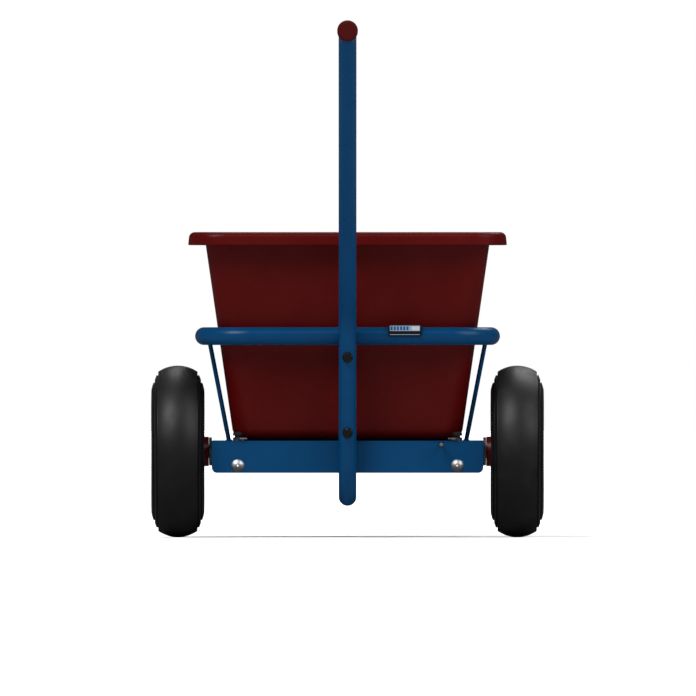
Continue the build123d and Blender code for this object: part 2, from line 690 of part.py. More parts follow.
def mast_strap():
    """Flat strap welded to the hoop and the housing, which the mast is bolted to."""
    middle = TUBE_R + STRAP_T / 2
    top = mast_axis(318) + MAST_IN * middle
    jog = mast_axis(150) + MAST_IN * middle
    seat_y = HOUSING_BACK - STRAP_T / 2
    points = [(top.Y, top.Z), (jog.Y, jog.Z), (seat_y, jog.Z - 13), (seat_y, 106)]
    outline = trace(FilletPolyline(*points, radius=6), STRAP_T)
    body = extrude(Plane.YZ * outline, STRAP_W / 2, both=True)
    for z in MAST_BOLT_ZS:
        start = mast_axis(z)
        body = body - bar(start, start + MAST_IN * 40, M8_R + CLEAR)
    return body


def mast_saddles():
    """Saddle washers that seat the bolt heads on the round tube."""
    group = Part()
    for z in MAST_BOLT_ZS:
        middle = mast_axis(z)
        pad = bar(middle - MAST_IN * (TUBE_R + SADDLE_T), middle - MAST_IN * 9, 8)
        pad = pad - bar(middle - MAST_UP * 30, middle + MAST_UP * 30, TUBE_R)
        group = group + (pad - bar(middle - MAST_IN * 30, middle, M8_R + CLEAR))
    return group


def mast_bolts():
    """M8 hex bolts through the mast and the strap."""
    group = Part()
    for z in MAST_BOLT_ZS:
        head = mast_axis(z) - MAST_IN * (TUBE_R + SADDLE_T)
        length = 2 * TUBE_R + STRAP_T + 11
        group = group + hex_bolt(head, MAST_IN, M8_R, length, M8_FLATS, M8_HEAD)
    return group


def mast_nuts():
    group = Part()
    for z in MAST_BOLT_ZS:
        face = mast_axis(z) + MAST_IN * (TUBE_R + STRAP_T)
        group = group + nut(face, MAST_IN, M8_R, M8_FLATS, M8_LOCKNUT)
    return group


def hoop_solid(radius):
    """Closed ring about the tub, in one level plane: four straights and four quarter bends."""
    half_d = TUB_Y - HOOP_BACK
    flat_y = half_d - HOOP_BEND_R
    flat_x = HOOP_HALF_W - HOOP_BEND_R
    body = Part()
    for sx in (-1, 1):
        x = sx * HOOP_HALF_W
        body = body + bar((x, TUB_Y - flat_y, HOOP_Z), (x, TUB_Y + flat_y, HOOP_Z), radius)
        y = TUB_Y + sx * half_d
        body = body + bar((-flat_x, y, HOOP_Z), (flat_x, y, HOOP_Z), radius)
        for sy in (-1, 1):
            start = Plane((x, TUB_Y + sy * flat_y, HOOP_Z), z_dir=(0, 1, 0)) * Circle(radius)
            centre = (sx * flat_x, TUB_Y + sy * flat_y, HOOP_Z)
            body = body + revolve(start, Axis(centre, (0, 0, sx * sy)), 90)
    return body


def hoop():
    """Tube ring that the tub stands in."""
    return hoop_solid(TUBE_R) - hoop_solid(TUBE_R - TUBE_WALL)


def stays(side):
    """Two thin rods on one side, from the top plate up to the hoop."""
    pair = Part()
    for y in STAY_YS:
        foot = Vector(STAY_FOOT_X, y, HOUSING_Z1)
        head = Vector(STAY_HEAD_X, y, HOOP_Z - TUBE_R + 2)
        along = (head - foot).normalized()
        pair = pair + bar(foot - along * 3, head + along * 4, STAY_R)
    pair = pair - block(0, 300, -200, 300, 100, HOUSING_Z1)
    pair = pair - bar((HOOP_HALF_W, -200, HOOP_Z), (HOOP_HALF_W, 300, HOOP_Z), TUBE_R)
    return pair if side > 0 else pair.mirror(Plane.YZ)


def foot_bracket():
    """T bracket between the housing's floor and the foot run of the mast."""
    z1 = HOUSING_Z0
    y0 = BRACKET_Y - 34
    y1 = BRACKET_Y + 34
    body = block(-STRAP_W / 2, STRAP_W / 2, y0, y1, z1 - BRACKET_T, z1)
    body = body + block(-3, 3, BRACKET_Y - 15, BRACKET_Y + 15, MAST_LOW_Z + 5, z1)
    body = body - bar((0, y0 - 5, MAST_LOW_Z), (0, y1 + 5, MAST_LOW_Z), TUBE_R)
    for y in BRACKET_BOLT_YS:
        body = body - bar((0, y, z1 - 9), (0, y, z1 + 9), M6_R + CLEAR)
    return body


def bracket_bolts():
    """M6 bolts of the foot bracket, heads below."""
    group = Part()
    for y in BRACKET_BOLT_YS:
        head = (0, y, HOUSING_Z0 - BRACKET_T)
        group = group + hex_bolt(head, (0, 0, 1), M6_R, 14, M6_FLATS, M6_HEAD)
    return group


def bracket_nuts():
    group = Part()
    for y in BRACKET_BOLT_YS:
        group = group + nut((0, y, FLOOR_Z), (0, 0, 1), M6_R, M6_FLATS, M6_NUT)
    return group


def foot_plug():
    """Plastic plug in the front end of the mast; the spreader parks on it."""
    y1 = REACH_FRONT
    head = bar((0, y1 - FOOT_PLUG_T, MAST_LOW_Z), (0, y1, MAST_LOW_Z), TUBE_R)
    head = fillet(head.edges().sort_by(Axis.Y)[-1], 2)
    spigot = bar((0, y1 - 22, MAST_LOW_Z), (0, y1 - FOOT_PLUG_T, MAST_LOW_Z), TUBE_R - TUBE_WALL)
    return head + spigot


def grip():
    """Closed sleeve grip with shallow rings for the fingers."""
    end = -REACH_BACK
    body = bar((0, end, GRIP_Z), (0, end + GRIP_L, GRIP_Z), GRIP_R)
    body = fillet(body.edges().sort_by(Axis.Y)[0], 4)
    body = fillet(body.edges().sort_by(Axis.Y)[-1], 1)
    for k in range(GRIP_RINGS):
        y = end + 16 + 10 * k
        ring = bar((0, y, GRIP_Z), (0, y + 4, GRIP_Z), GRIP_R + 1)
        core = bar((0, y - 1, GRIP_Z), (0, y + 5, GRIP_Z), GRIP_R - 0.7)
        body = body - (ring - core)
    return body - bar((0, end + GRIP_WALL, GRIP_Z), (0, end + GRIP_L + 1, GRIP_Z), TUBE_R)


# ---------------------------------------------------------------- badge

def badge_holder():
    """Plastic carrier that fits over the back bar of the hoop."""
    y0 = HOOP_BACK - TUBE_R - BADGE_WALL
    z0 = BADGE_Z - BADGE_H / 2
    half = BADGE_W / 2
    body = block(BADGE_X - half, BADGE_X + half, y0, y0 + 12, z0, z0 + BADGE_H)
    body = body - bar((BADGE_X - 30, HOOP_BACK, HOOP_Z), (BADGE_X + 30, HOOP_BACK, HOOP_Z), TUBE_R)
    x0 = BADGE_X - half + 1.6
    x1 = BADGE_X + half - 1.6
    return body - block(x0, x1, y0 - 1, y0 + 0.8, z0 + 1.4, z0 + BADGE_H - 1.4)


def badge_plate():
    """Plain plate in the carrier's pocket."""
    y0 = HOOP_BACK - TUBE_R - BADGE_WALL + 0.8
    z0 = BADGE_Z - BADGE_H / 2
    half = BADGE_W / 2 - 1.8
    return block(BADGE_X - half, BADGE_X + half, y0 - 0.5, y0, z0 + 1.6, z0 + BADGE_H - 1.6)


# ---------------------------------------------------------------- write every piece

for side_name, side in SIDES:
    save(f"tyre_{side_name}", on_wheel(side, tyre()))
    save(f"inner_tube_{side_name}", on_wheel(side, inner_tube()))
    save(f"rim_{side_name}", on_wheel(side, rim(side)))
    save(f"hub_bushes_{side_name}", on_wheel(side, hub_bushes(side)))
    save(f"valve_{side_name}", on_wheel(side, valve()))
    save(f"axle_bearing_{side_name}", axle_bearing(side))
    save(f"tie_plate_{side_name}", tie_plate(side))
    save(f"stays_{side_name}", stays(side))

save("drive_bolt", on_wheel(-1, drive_bolt()))
save("drive_nut", on_wheel(-1, drive_nut()))
save("axle", axle())
save("agitator_sleeve", agitator_sleeve())
save("agitator_fingers", agitator_fingers())
save("agitator_pins", agitator_pins())
save("axle_washers", axle_washers())
save("cotter_pins", cotter_pins())
save("axle_housing", axle_housing())
save("housing_top", housing_top())
save("tie_bolts", tie_bolts())
save("tie_nuts", tie_nuts())
save("chute_frame", chute_frame())
save("gate_guides", gate_guides())
save("gate_plate", gate_plate())
save("gate_boss", gate_boss())
save("gate_boss_pin", gate_boss_pin())
save("gate_rod", gate_rod())
save("tub", tub())
save("tub_clips", tub_clips())
save("tub_bolts", tub_bolts())
save("tub_knobs", tub_knobs())
save("mast_tube", mast_tube())
save("mast_strap", mast_strap())
save("mast_saddles", mast_saddles())
save("mast_bolts", mast_bolts())
save("mast_nuts", mast_nuts())
save("hoop", hoop())
save("foot_bracket", foot_bracket())
save("bracket_bolts", bracket_bolts())
save("bracket_nuts", bracket_nuts())
save("foot_plug", foot_plug())
save("grip", grip())
save("badge_holder", badge_holder())
save("badge_plate", badge_plate())
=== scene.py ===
import json
from math import atan2, cos, pi, radians, sin, sqrt

import bmesh
import bpy
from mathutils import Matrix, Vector


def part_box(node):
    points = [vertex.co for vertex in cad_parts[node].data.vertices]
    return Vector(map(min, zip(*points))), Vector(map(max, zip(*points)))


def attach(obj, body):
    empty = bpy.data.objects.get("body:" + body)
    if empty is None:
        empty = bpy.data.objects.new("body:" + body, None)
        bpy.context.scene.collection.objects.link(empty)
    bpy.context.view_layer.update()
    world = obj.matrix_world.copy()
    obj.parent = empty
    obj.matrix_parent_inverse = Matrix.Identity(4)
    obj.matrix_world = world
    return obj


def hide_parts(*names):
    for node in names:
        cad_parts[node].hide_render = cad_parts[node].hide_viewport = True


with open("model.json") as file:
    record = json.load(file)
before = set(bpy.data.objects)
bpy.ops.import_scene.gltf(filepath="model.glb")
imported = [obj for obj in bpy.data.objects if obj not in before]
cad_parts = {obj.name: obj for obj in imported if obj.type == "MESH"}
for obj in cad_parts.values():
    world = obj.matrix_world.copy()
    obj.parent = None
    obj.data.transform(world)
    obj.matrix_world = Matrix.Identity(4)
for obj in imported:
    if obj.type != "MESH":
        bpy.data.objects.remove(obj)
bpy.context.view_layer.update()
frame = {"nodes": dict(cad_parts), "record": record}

# The frame is in metres: x to the user's right, y the way of travel, z up.
MM = 0.001
SIDES = (("left", -1), ("right", 1))          # signs of x
ENDS = (("back", -1), ("front", 1))           # signs of y
X = Vector((1, 0, 0))
Z = Vector((0, 0, 1))


# ---------------------------------------------------------------- places taken from the frame

def middle(node):
    low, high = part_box(node)
    return (low + high) / 2


def span(node, axis):
    low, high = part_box(node)
    return high[axis] - low[axis]


AXLE = middle("axle")
WHEEL_R = span("tyre_left", 2) / 2
HOUSING_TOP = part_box("housing_top")[1].z
HOUSING_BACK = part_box("housing_top")[0].y
TUBE_R = span("mast_tube", 0) / 2
HOOP_LOW, HOOP_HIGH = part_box("hoop")
HOOP_Z = (HOOP_LOW.z + HOOP_HIGH.z) / 2
HOOP_MID_Y = (HOOP_LOW.y + HOOP_HIGH.y) / 2
HOOP_BACK_Y = HOOP_LOW.y + TUBE_R
WALL_LEAN = radians(8.2)                      # lean of the tub's walls and of the lower mast
MAST_UP = Vector((0, -sin(WALL_LEAN), cos(WALL_LEAN)))
MAST_IN = Vector((0, cos(WALL_LEAN), sin(WALL_LEAN)))


# ---------------------------------------------------------------- camera, floor and light

LENS = 1600.0                                 # long lens: the view is all but parallel
SENSOR = 36.0
VIEW_W = 1.051                                # width of the view at the object, in metres
CLIP_NEAR, CLIP_FAR = 1.0, 200.0
AIM = Vector((0.0007, AXLE.y - 0.15, 0.2866))  # the point in the middle of the view

# Name, strength, elevation, azimuth and softness; azimuth 0 is behind the user, 90 on the right.
SUNS = (
    ("key", 3.4, 48, -38, 30),
    ("fill", 1.9, 38, 55, 40),
    ("back", 1.5, 50, 165, 40),
)
SUN_DISTANCE = 5.0

SKY = 0.30                                    # strength of the sky as a light
SKY_MIRRORED = 0.07                           # its strength in reflections
SKY_SEEN = 1.0                                # its strength as the white backdrop

FLOOR_HALF = 60.0                             # wide enough to fill the level view
FLOOR_TONE = (0.86, 0.86, 0.86)
FLOOR_MIRRORED = (0.07, 0.07, 0.07)


def make_camera():
    data = bpy.data.cameras.new("camera")
    data.lens = LENS
    data.sensor_width = SENSOR
    data.clip_start = CLIP_NEAR
    data.clip_end = CLIP_FAR
    camera = bpy.data.objects.new("camera", data)
    camera.location = AIM - Vector((0, VIEW_W * LENS / SENSOR, 0))
    camera.rotation_euler = (pi / 2, 0, 0)
    bpy.context.scene.collection.objects.link(camera)
    bpy.context.scene.camera = camera


def make_sun(name, strength, elevation, azimuth, softness):
    """Soft distant light; all angles in degrees."""
    data = bpy.data.lights.new(name, "SUN")
    data.energy = strength
    data.angle = radians(softness)
    lamp = bpy.data.objects.new(name, data)
    a, e = radians(azimuth), radians(elevation)
    towards = Vector((sin(a) * cos(e), -cos(a) * cos(e), sin(e)))
    lamp.rotation_mode = "QUATERNION"
    lamp.rotation_quaternion = towards.to_track_quat("Z", "Y")
    lamp.location = AIM + towards * SUN_DISTANCE
    bpy.context.scene.collection.objects.link(lamp)


def make_world():
    """White for the camera, a soft grey sky for light, a dim one for reflections."""
    world = bpy.data.worlds.new("studio")
    bpy.context.scene.world = world
    world.use_nodes = True
    nodes, links = world.node_tree.nodes, world.node_tree.links
    nodes.clear()
    out = nodes.new("ShaderNodeOutputWorld")
    path = nodes.new("ShaderNodeLightPath")
    skies = []
    for strength in (SKY, SKY_MIRRORED, SKY_SEEN):
        sky = nodes.new("ShaderNodeBackground")
        sky.inputs["Color"].default_value = (1, 1, 1, 1)
        sky.inputs["Strength"].default_value = strength
        skies.append(sky.outputs["Background"])
    surface, mirrored, seen = skies
    for rays, sky in (("Is Glossy Ray", mirrored), ("Is Camera Ray", seen)):
        mix = nodes.new("ShaderNodeMixShader")
        links.new(path.outputs[rays], mix.inputs["Fac"])
        links.new(surface, mix.inputs[1])
        links.new(sky, mix.inputs[2])
        surface = mix.outputs["Shader"]
    links.new(surface, out.inputs["Surface"])


def make_floor():
    """Plain pale floor that is dim in reflections."""
    mesh = bpy.data.meshes.new("floor")
    corners = [(x * FLOOR_HALF, y * FLOOR_HALF, 0) for x, y in ((-1, -1), (1, -1), (1, 1), (-1, 1))]
    mesh.from_pydata(corners, [], [(0, 1, 2, 3)])
    floor = bpy.data.objects.new("floor", mesh)
    bpy.context.scene.collection.objects.link(floor)
    material = new_material("floor_white")
    shader = set_shader(material, FLOOR_TONE, roughness=0.9, specular=0.0)
    path = add(material, "ShaderNodeLightPath")
    tone = blend_colour(material, path.outputs["Is Glossy Ray"], FLOOR_TONE, FLOOR_MIRRORED)
    link(material, tone, shader.inputs["Base Color"])
    mesh.materials.append(material)


# ---------------------------------------------------------------- material helpers

def new_material(name):
    material = bpy.data.materials.new(name)
    material.use_nodes = True
    return material


def set_shader(material, colour, roughness, metallic=0.0, specular=0.5):
    shader = material.node_tree.nodes["Principled BSDF"]
    shader.inputs["Base Color"].default_value = (*colour, 1)
    shader.inputs["Roughness"].default_value = roughness
    shader.inputs["Metallic"].default_value = metallic
    shader.inputs["Specular IOR Level"].default_value = specular
    return shader


def add(material, kind, **inputs):
    """New shader node with some of its sockets set."""
    node = material.node_tree.nodes.new(kind)
    for name, value in inputs.items():
        node.inputs[name].default_value = value
    return node


def link(material, source, target):
    material.node_tree.links.new(source, target)


def place(material, stretch=(1, 1, 1)):
    """The object's own coordinates, in metres, stretched along its axes."""
    coordinates = add(material, "ShaderNodeTexCoord")
    mapping = add(material, "ShaderNodeMapping", Scale=stretch)
    link(material, coordinates.outputs["Object"], mapping.inputs["Vector"])
    return mapping.outputs["Vector"]


def noise(material, vector, per_metre, detail=4.0, rough=0.55):
    node = add(material, "ShaderNodeTexNoise", Scale=per_metre, Detail=detail, Roughness=rough)
    link(material, vector, node.inputs["Vector"])
    return node.outputs["Fac"]


def remap(material, value, low, high, out_low, out_high):
    """The value's range from low to high, stretched to out_low to out_high and clamped."""
    node = add(material, "ShaderNodeMapRange")
    node.inputs["From Min"].default_value = low
    node.inputs["From Max"].default_value = high
    node.inputs["To Min"].default_value = out_low
    node.inputs["To Max"].default_value = out_high
    link(material, value, node.inputs["Value"])
    return node.outputs["Result"]


def blend_colour(material, factor, first, second):
    """Mix of two colours or sockets by a factor socket."""
    node = material.node_tree.nodes.new("ShaderNodeMix")
    node.data_type = "RGBA"
    link(material, factor, node.inputs[0])
    colours = [s for s in node.inputs if s.type == "RGBA"]
    for socket, value in zip(colours, (first, second)):
        if isinstance(value, tuple):
            socket.default_value = (*value, 1)
        else:
            link(material, value, socket)
    return [s for s in node.outputs if s.type == "RGBA"][0]


def multiply(material, first, second):
    """Product of two sockets."""
    node = material.node_tree.nodes.new("ShaderNodeMath")
    node.operation = "MULTIPLY"
    link(material, first, node.inputs[0])
    link(material, second, node.inputs[1])
    return node.outputs["Value"]


def bump(material, height, depth_mm, strength):
    """Surface relief from a height socket; depth in millimetres."""
    node = add(material, "ShaderNodeBump", Strength=strength, Distance=depth_mm * MM)
    link(material, height, node.inputs["Height"])
    return node.outputs["Normal"]


def edge_mask(material, radius_mm, low, high):
    """About 1 on outer edges and 0 on open faces, from the bend of the surface."""
    geometry = add(material, "ShaderNodeNewGeometry")
    rounded = add(material, "ShaderNodeBevel", Radius=radius_mm * MM)
    rounded.samples = 4
    dot = material.node_tree.nodes.new("ShaderNodeVectorMath")
    dot.operation = "DOT_PRODUCT"
    link(material, geometry.outputs["Normal"], dot.inputs[0])
    link(material, rounded.outputs["Normal"], dot.inputs[1])
    return remap(material, dot.outputs["Value"], high, low, 0.0, 1.0)


def scaled(colour, factor, lift=0.0):
    return tuple(c * factor + lift for c in colour)


# ---------------------------------------------------------------- kinds of material

def paint_material(name, colour, rubbed):
    """Powder coat on steel: slight orange peel, faint tone drift, edges rubbed a little paler."""
    material = new_material(name)
    shader = set_shader(material, colour, roughness=0.28, specular=0.10)
    vector = place(material)
    drift = noise(material, vector, per_metre=9.0, detail=3.0)
    rubs = noise(material, vector, per_metre=60.0, detail=3.0)
    deeper = remap(material, drift, 0.35, 0.65, 0, 1)
    tone = blend_colour(material, deeper, colour, scaled(colour, 1.12))
    edges = edge_mask(material, 0.7, 0.80, 0.97)
    worn = multiply(material, edges, remap(material, rubs, 0.50, 0.72, 0.0, 0.40))
    link(material, blend_colour(material, worn, tone, rubbed), shader.inputs["Base Color"])
    link(material, remap(material, drift, 0.3, 0.7, 0.25, 0.32), shader.inputs["Roughness"])
    peel = noise(material, vector, per_metre=420.0, detail=2.0)
    link(material, bump(material, peel, depth_mm=0.03, strength=0.25), shader.inputs["Normal"])
    return material


def plastic_material(name, colour, roughness, per_metre=1500.0, grain_mm=0.03, specular=0.06):
    """Moulded plastic: fine grain, soft cloudiness, a few hairline scuffs."""
    material = new_material(name)
    shader = set_shader(material, colour, roughness, specular=specular)
    vector = place(material)
    cloud = noise(material, vector, per_metre=14.0, detail=3.0)
    clouded = remap(material, cloud, 0.3, 0.7, 0, 1)
    tone = blend_colour(material, clouded, scaled(colour, 0.93), scaled(colour, 1.08))
    upright = place(material, stretch=(1.0, 1.0, 0.06))
    scratches = noise(material, upright, per_metre=420.0, detail=3.0, rough=0.7)
    scuff = remap(material, scratches, 0.66, 0.74, 0.0, 0.22)
    pale = scaled(colour, 1.5, lift=0.01)
    link(material, blend_colour(material, scuff, tone, pale), shader.inputs["Base Color"])
    gloss = remap(material, cloud, 0.3, 0.7, roughness - 0.05, roughness + 0.06)
    link(material, gloss, shader.inputs["Roughness"])
    grain = noise(material, vector, per_metre, detail=2.0)
    link(material, bump(material, grain, grain_mm, strength=0.5), shader.inputs["Normal"])
    return material


def rubber_material(name, colour, roughness):
    """Vulcanised rubber: dull, faintly dusty, with a fine skin."""
    material = new_material(name)
    shader = set_shader(material, colour, roughness, specular=0.22)
    vector = place(material)
    most_dust = 0.35
    specks = noise(material, vector, per_metre=35.0, detail=6.0, rough=0.65)
    dust = remap(material, specks, 0.48, 0.75, 0.0, most_dust)
    dusty = scaled(colour, 1.0, lift=0.008)
    link(material, blend_colour(material, dust, colour, dusty), shader.inputs["Base Color"])
    gloss = remap(material, dust, 0.0, most_dust, roughness, roughness + 0.12)
    link(material, gloss, shader.inputs["Roughness"])
    skin = noise(material, vector, per_metre=900.0, detail=4.0)
    link(material, bump(material, skin, depth_mm=0.06, strength=0.6), shader.inputs["Normal"])
    return material


def metal_material(name, colour, roughness, grain=(1, 1, 1), spangle=False):
    """Plated or drawn steel: crystal or draw-mark variation in tone, gloss and relief."""
    material = new_material(name)
    shader = set_shader(material, colour, roughness, metallic=1.0)
    vector = place(material, grain)
    if spangle:
        cells = add(material, "ShaderNodeTexVoronoi", Scale=420.0)
        link(material, vector, cells.inputs["Vector"])
        pattern = cells.outputs["Color"]
    else:
        pattern = noise(material, vector, per_metre=700.0, detail=3.0)
    tone = blend_colour(material, pattern, scaled(colour, 0.86), colour)
    link(material, tone, shader.inputs["Base Color"])
    fine = noise(material, vector, per_metre=260.0, detail=4.0)
    gloss = remap(material, fine, 0.3, 0.7, roughness - 0.08, roughness + 0.10)
    link(material, gloss, shader.inputs["Roughness"])
    link(material, bump(material, fine, depth_mm=0.03, strength=0.4), shader.inputs["Normal"])
    return material


# ---------------------------------------------------------------- the object's materials

BLUE = (0.0006, 0.0275, 0.080)
RUBBED_BLUE = (0.03, 0.10, 0.19)
TUB_RED = (0.051, 0.0016, 0.0016)
RIM_RED = (0.105, 0.0075, 0.008)
GRIP_RED = (0.040, 0.0016, 0.0016)
KNOB_BLACK = (0.010, 0.010, 0.011)
BEARING_GREY = (0.15, 0.145, 0.15)
NYLON_WHITE = (0.62, 0.60, 0.52)
TYRE_BLACK = (0.0050, 0.0050, 0.0052)
TUBE_BLACK = (0.012, 0.012, 0.012)
ZINC = (0.42, 0.43, 0.45)
DRAWN_STEEL = (0.40, 0.40, 0.41)
WELDED_STEEL = (0.33, 0.34, 0.35)
BLACKENED_STEEL = (0.075, 0.075, 0.080)
BRASS = (0.62, 0.43, 0.16)
BADGE_BLACK = (0.006, 0.006, 0.008)
BADGE_PALE = (0.15, 0.21, 0.27)
BADGE_BLUE = (0.006, 0.045, 0.12)
BADGE_GREY = (0.30, 0.31, 0.33)
DRAWN = (0.04, 1, 1)                          # draw marks run along the axle


def badge_material(name, colour):
    return plastic_material(name, colour, roughness=0.30, per_metre=2000.0, grain_mm=0.01)


frame_paint = paint_material("blue_powder_coat", BLUE, RUBBED_BLUE)
tub_plastic = plastic_material("red_tub_plastic", TUB_RED, roughness=0.36)
wheel_plastic = plastic_material("red_rim_plastic", RIM_RED, roughness=0.34, per_metre=900.0,
                                 specular=0.18)
grip_plastic = plastic_material("red_grip_plastic", GRIP_RED, roughness=0.55, per_metre=2200.0,
                                grain_mm=0.06)
knob_plastic = plastic_material("black_plastic", KNOB_BLACK, roughness=0.42, per_metre=1800.0)
bearing_plastic = plastic_material("grey_bearing_plastic", BEARING_GREY, roughness=0.45)
nylon = plastic_material("natural_nylon", NYLON_WHITE, roughness=0.40, grain_mm=0.02)
tyre_rubber = rubber_material("tyre_rubber", TYRE_BLACK, roughness=0.46)
tube_rubber = rubber_material("inner_tube_rubber", TUBE_BLACK, roughness=0.60)
zinc = metal_material("zinc_plate", ZINC, roughness=0.42, spangle=True)
axle_steel = metal_material("drawn_steel", DRAWN_STEEL, roughness=0.34, grain=DRAWN)
agitator_steel = metal_material("welded_steel", WELDED_STEEL, roughness=0.46, spangle=True)
black_steel = metal_material("blackened_steel", BLACKENED_STEEL, roughness=0.30)
brass = metal_material("brass", BRASS, roughness=0.36)
badge_black = badge_material("badge_black", BADGE_BLACK)
badge_pale = badge_material("badge_pale", BADGE_PALE)
badge_blue = badge_material("badge_blue", BADGE_BLUE)
badge_grey = badge_material("badge_grey", BADGE_GREY)

SLOT_MATERIALS = {
    "frame_paint": frame_paint,
    "tub_plastic": tub_plastic,
    "wheel_plastic": wheel_plastic,
    "grip_plastic": grip_plastic,
    "tyre_rubber": tyre_rubber,
    "tube_rubber": tube_rubber,
    "zinc": zinc,
    "axle_steel": axle_steel,
    "agitator_steel": agitator_steel,
    "black_steel": black_steel,
    "bearing_plastic": bearing_plastic,
    "bush_plastic": nylon,
    "knob_plastic": knob_plastic,
    "valve_brass": brass,
    "badge_plastic": badge_black,
    "badge_face": badge_black,
}


# ---------------------------------------------------------------- CAD nodes: finish and eased edges

# Width of the rounded edges in millimetres, and the nodes that have them.
EASED_MM = {
    0.15: ("tub_bolts", "gate_rod"),
    0.2: ("mast_bolts", "mast_nuts", "tie_bolts", "tie_nuts", "bracket_bolts", "bracket_nuts",
          "drive_bolt", "drive_nut", "axle_washers"),
    0.25: ("tub_clips", "hub_bushes_left", "hub_bushes_right"),
    0.3: ("tie_plate_left", "tie_plate_right", "grip"),
    0.4: ("foot_bracket",),
    0.45: ("housing_top",),
    0.5: ("axle_housing", "mast_strap", "tub_knobs", "badge_holder"),
    0.6: ("rim_left", "rim_right"),
}
FACET_GAP_MM = 0.005                          # facets that meet within this are one surface
SHARP_EDGE = radians(35)


def ease_edges(obj, width_mm):
    """Weld the facets and round the sharp edges by modifiers; the node's own mesh stays."""
    seams = obj.modifiers.new("weld", "WELD")
    seams.merge_threshold = FACET_GAP_MM * MM
    bevel = obj.modifiers.new("bevel", "BEVEL")
    bevel.width = width_mm * MM
    bevel.segments = 2
    bevel.limit_method = "ANGLE"
    bevel.angle_limit = SHARP_EDGE
    bevel.use_clamp_overlap = True
    bevel.harden_normals = True


def finish_cad_nodes():
    slots = {row["node"]: row["material_slot"] for row in frame["record"]["subparts"]}
    for node, obj in frame["nodes"].items():
        obj.data.materials.clear()
        obj.data.materials.append(SLOT_MATERIALS[slots[node]])
    for width_mm, nodes in EASED_MM.items():
        for node in nodes:
            ease_edges(frame["nodes"][node], width_mm)


# ---------------------------------------------------------------- mesh helpers

def new_piece(name, mesh, material, body):
    obj = bpy.data.objects.new(name, mesh)
    bpy.context.scene.collection.objects.link(obj)
    mesh.materials.append(material)
    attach(obj, body)
    return obj


def mesh_of(name, verts, faces):
    """Smooth mesh with its faces turned outwards."""
    mesh = bpy.data.meshes.new(name)
    mesh.from_pydata([tuple(v) for v in verts], [], faces)
    mesh.validate()
    bm = bmesh.new()
    bm.from_mesh(mesh)
    bmesh.ops.recalc_face_normals(bm, faces=bm.faces)
    bm.to_mesh(mesh)
    bm.free()
    mesh.polygons.foreach_set("use_smooth", [True] * len(mesh.polygons))
    mesh.update()
    return mesh


def arc(start, through, end, count):
    """Points of the arc through three points, without its last point."""
    (ax, ay), (bx, by), (cx, cy) = start, through, end
    d = 2 * (ax * (by - cy) + bx * (cy - ay) + cx * (ay - by))
    a2, b2, c2 = ax * ax + ay * ay, bx * bx + by * by, cx * cx + cy * cy
    middle_x = (a2 * (by - cy) + b2 * (cy - ay) + c2 * (ay - by)) / d
    middle_y = (a2 * (cx - bx) + b2 * (ax - cx) + c2 * (bx - ax)) / d
    radius = sqrt((ax - middle_x) ** 2 + (ay - middle_y) ** 2)
    first, halfway, last = (atan2(y - middle_y, x - middle_x) for x, y in (start, through, end))
    turn = (last - first) % (2 * pi)
    if (halfway - first) % (2 * pi) > turn:
        turn -= 2 * pi
    angles = [first + turn * k / count for k in range(count)]
    return [(middle_x + radius * cos(t), middle_y + radius * sin(t)) for t in angles]


def ring_faces(rows, size, closed):
    """Quads between neighbouring rows of `size` points each, every row being a loop."""
    faces = []
    for k in range(rows if closed else rows - 1):
        here, there = k * size, (k + 1) % rows * size
        for i in range(size):
            j = (i + 1) % size
            faces.append((here + i, here + j, there + j, there + i))
    return faces


def lathe(name, profile, centre, steps, side):
    """Closed profile of (outwards, radius) pairs turned about the axle's direction."""
    verts = []
    for k in range(steps):
        a = 2 * pi * k / steps
        for u, r in profile:
            verts.append((centre.x + side * u, centre.y + r * cos(a), centre.z + r * sin(a)))
    return mesh_of(name, verts, ring_faces(steps, len(profile), closed=True))


ROD_SIDES = 8


def sweep_mesh(name, path, radii, closed):
    """Round rod along a path, with its own radius at each point and flat ends."""
    verts = []
    n = len(path)
    up = None
    for k, point in enumerate(path):
        before = path[(k - 1) % n] if closed or k > 0 else point
        after = path[(k + 1) % n] if closed or k < n - 1 else point
        along = (after - before).normalized()
        if up is None:
            up = along.cross(Z if abs(along.z) < 0.9 else X).normalized()
        up = (up - along * up.dot(along)).normalized()
        side = along.cross(up)
        for i in range(ROD_SIDES):
            a = 2 * pi * i / ROD_SIDES
            verts.append(point + (up * cos(a) + side * sin(a)) * radii[k])
    faces = ring_faces(n, ROD_SIDES, closed)
    if not closed:
        faces.append(tuple(range(ROD_SIDES)))
        faces.append(tuple((n - 1) * ROD_SIDES + i for i in range(ROD_SIDES)))
    return mesh_of(name, verts, faces)


def mesh_from(name, bm):
    mesh = bpy.data.meshes.new(name)
    bm.to_mesh(mesh)
    bm.free()
    return mesh


# ---------------------------------------------------------------- tyres

TYRE_STEPS = 180
TYRE_CREASE = radians(38)                     # sharper bends than this stay sharp
TYRE_BODIES = {"left": "drive_axle", "right": "right_wheel"}

# All tyre sizes are in millimetres; a point is (outwards from the tyre's middle, radius).
BEAD_R, FLANGE_R = 52.0, 61.5
TREAD_EDGE = (29.6, 120.9)

LUGS = 120
LUG_STOPS = ((39.35, 87.5), (39.80, 90.5), (39.65, 93.5), (39.35, 95.5))
LUG_SECTION = ((-1.0, -0.4), (0.0, 0.45), (1.0, -0.4))   # (sideways, lift): foot, crest, foot


